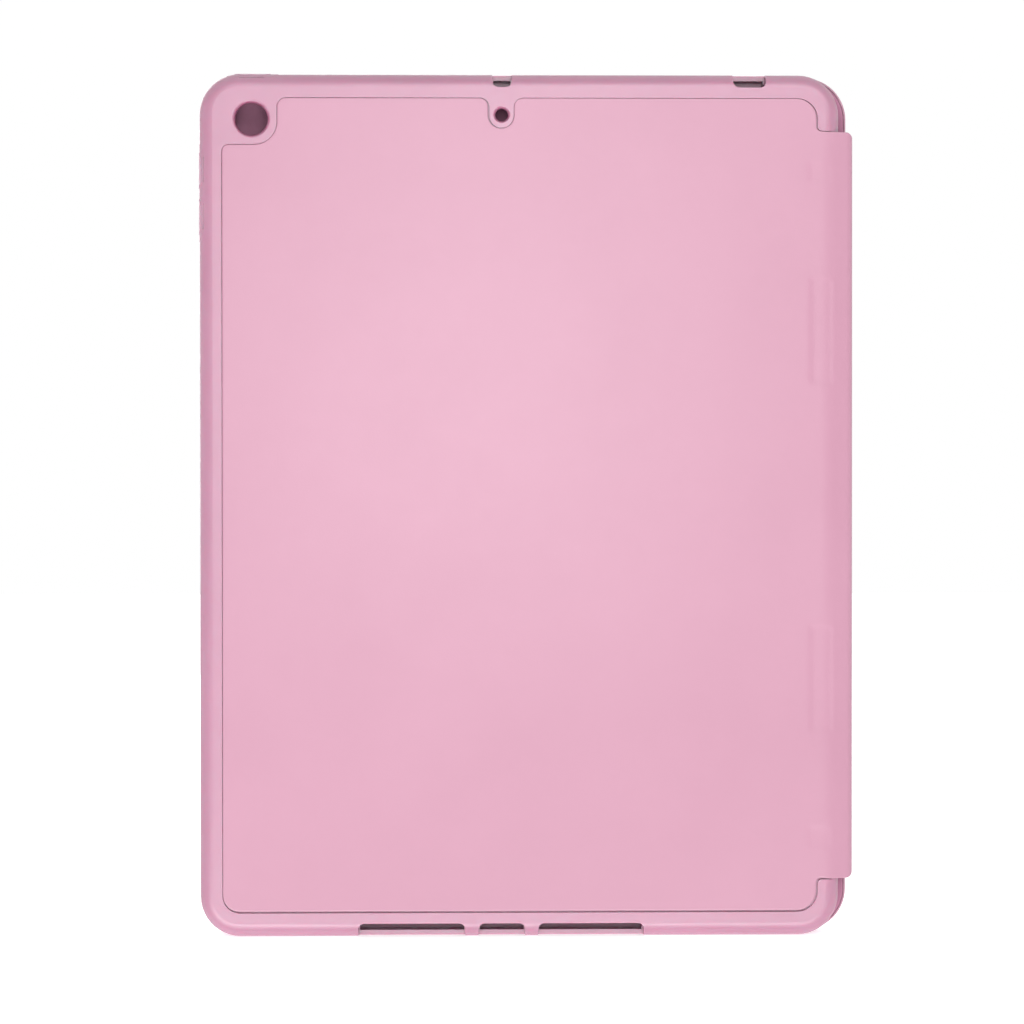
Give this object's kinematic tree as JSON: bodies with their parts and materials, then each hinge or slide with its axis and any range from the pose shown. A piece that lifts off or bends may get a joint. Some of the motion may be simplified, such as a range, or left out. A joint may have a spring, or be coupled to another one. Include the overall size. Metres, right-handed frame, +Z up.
{
  "type": "tablet folio case",
  "caption": "Folio case for a 10.2 inch tablet: soft tray shell with stylus groove, press buttons, wrapped spine and a three-fold cover that opens flat, folds behind or rolls into a stand.",
  "frame": {"origin": "middle of the standing case's footprint: centre of the bounding box in x and y, bottom edge at z = 0", "axes": "+Z up along the tablet's height, back of the case towards -Y, front cover towards +Y, spine and stylus groove on the +X side"},
  "size_m": [0.1946, 0.0134, 0.2565],
  "materials": {
    "tpu": "fine matte soft-touch",
    "tpu_button": "fine matte soft-touch",
    "pu_leather": "smooth matte coated",
    "microfibre": "short suede nap",
    "board": "pressed grey board",
    "magnet": "nickel plated",
    "steel_plate": "cold rolled sheet"
  },
  "bodies": {
    "tray": {"back_shell": "tpu", "back_skin": "pu_leather"},
    "power_key": {"power_button": "tpu_button"},
    "volume_up_key": {"volume_up_button": "tpu_button"},
    "volume_down_key": {"volume_down_button": "tpu_button"},
    "spine": {"spine_skin": "pu_leather", "spine_board": "board", "spine_lining": "microfibre"},
    "hinge_panel": {"cover_skin_3": "pu_leather", "cover_board_3": "board", "cover_lining_3": "microfibre", "stand_plate": "steel_plate"},
    "middle_panel": {"cover_skin_2": "pu_leather", "cover_board_2": "board", "cover_lining_2": "microfibre"},
    "edge_panel": {"cover_skin_1": "pu_leather", "cover_board_1": "board", "cover_lining_1": "microfibre", "edge_magnet_upper": "magnet", "edge_magnet_lower": "magnet", "wake_magnet": "magnet"}
  },
  "joints": [
    {"name": "spine_hinge", "type": "hinge", "parent": "tray", "child": "spine", "pos_m": [0.09433, -0.0056, 0.128], "axis": [0, 0, -1], "range_deg": [0, 180]},
    {"name": "cover_hinge", "type": "hinge", "parent": "spine", "child": "hinge_panel", "pos_m": [0.09602, 0.0054, 0.128], "axis": [0, 0, -1], "range_deg": [0, 180]},
    {"name": "inner_fold", "type": "hinge", "parent": "hinge_panel", "child": "middle_panel", "pos_m": [0.03263, 0.0064, 0.128], "axis": [0, 0, 1], "range_deg": [-115, 0]},
    {"name": "outer_fold", "type": "hinge", "parent": "middle_panel", "child": "edge_panel", "pos_m": [-0.03277, 0.0064, 0.128], "axis": [0, 0, 1], "range_deg": [-115, 0]},
    {"name": "power_press", "type": "slide", "parent": "tray", "child": "power_key", "axis": [0, 0, -1], "range_m": [0, 0.0004], "stiffness_N_per_m": 1500},
    {"name": "volume_up_press", "type": "slide", "parent": "tray", "child": "volume_up_key", "axis": [1, 0, 0], "range_m": [0, 0.0004], "stiffness_N_per_m": 1500},
    {"name": "volume_down_press", "type": "slide", "parent": "tray", "child": "volume_down_key", "axis": [1, 0, 0], "range_m": [0, 0.0004], "stiffness_N_per_m": 1500}
  ]
}
